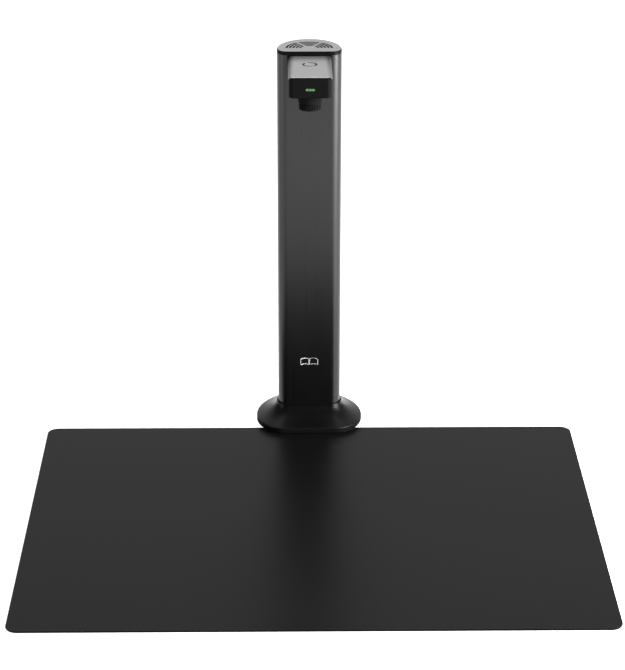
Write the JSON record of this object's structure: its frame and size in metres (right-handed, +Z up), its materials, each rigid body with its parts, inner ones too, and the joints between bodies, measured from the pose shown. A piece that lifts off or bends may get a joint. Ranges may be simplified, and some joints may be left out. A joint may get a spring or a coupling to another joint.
{
  "type": "overhead book scanner",
  "caption": "Desktop overhead book scanner: a slim column on a flared base holds a short head with a downward lens over a flat scanning mat.",
  "frame": {"origin": "centre of the stand's footprint, on the desk", "axes": "+Z up, -Y towards the reader along the mat, +X to the reader's right"},
  "size_m": [0.48, 0.453, 0.3554],
  "materials": {
    "gunmetal": "anodised gunmetal, satin",
    "base_black": "dark metallic paint, semi-gloss",
    "satin_grey": "light grey satin",
    "black_plastic": "black, fine grain",
    "rubber": "matt black",
    "mat": "black, fine grain, low sheen",
    "steel": "zinc plated",
    "iron": "as cast",
    "pcb": "green solder mask",
    "cable": "flat cable laminate",
    "heat_sink_alloy": "extruded",
    "glass": "coated optical glass",
    "light": "green light pipe",
    "diffuser": "opal"
  },
  "bodies": {
    "stand": {"base_cover": "base_black", "base_plate": "steel", "ballast_weight": "iron", "foot_pad": "rubber", "base_screw_1": "steel", "base_screw_2": "steel", "base_screw_3": "steel", "base_screw_4": "steel", "column_bolt_1": "steel", "column_bolt_2": "steel", "column_tube": "gunmetal", "cap_body": "black_plastic", "vent_plate": "satin_grey", "cap_screw_1": "steel", "cap_screw_2": "steel", "head_bracket": "steel", "bracket_screw_1": "steel", "bracket_screw_2": "steel", "head_screw_1": "steel", "head_screw_2": "steel", "head_housing": "black_plastic", "head_cover": "satin_grey", "status_light": "light", "button_board": "pcb", "button_switch": "black_plastic", "lamp_window": "diffuser", "lamp_led_1": "diffuser", "lamp_led_2": "diffuser", "lamp_board": "pcb", "lens_holder": "black_plastic", "ring_retainer": "black_plastic", "image_sensor": "black_plastic", "sensor_board": "pcb", "sensor_screw_1": "steel", "sensor_screw_2": "steel", "sensor_screw_3": "steel", "sensor_screw_4": "steel", "sensor_connector": "black_plastic", "main_board": "pcb", "board_connector": "black_plastic", "ribbon_cable": "cable", "processor_chip": "black_plastic", "heat_sink": "heat_sink_alloy", "socket_shell": "steel", "socket_tongue": "black_plastic", "port_bezel": "black_plastic"},
    "mat": {"scan_mat": "mat", "mat_backing": "rubber"},
    "button": {"light_button": "satin_grey", "switch_plunger": "black_plastic"},
    "focus_ring": {"focus_ring": "black_plastic"},
    "lens_cell": {"lens_barrel": "black_plastic", "front_lens": "glass", "rear_lens": "glass"}
  },
  "joints": [
    {"name": "mat_slide", "type": "slide", "parent": "stand", "child": "mat", "axis": [0, -1, 0], "range_m": [0, 0.03]},
    {"name": "button_press", "type": "slide", "parent": "stand", "child": "button", "axis": [0, 0, -1], "range_m": [0, 0.0008], "stiffness_N_per_m": 800},
    {"name": "focus_turn", "type": "hinge", "parent": "stand", "child": "focus_ring", "pos_m": [0, -0.067, 0.3214], "axis": [0, 0, 1], "range_deg": [-60, 60]},
    {"name": "lens_focus", "type": "slide", "parent": "stand", "child": "lens_cell", "axis": [0, 0, -1], "range_m": [-0.00052, 0.00052]}
  ],
  "couplings": [
    {"joint": "lens_focus", "follows": "focus_turn", "m_per_rad": 0.0004775}
  ]
}
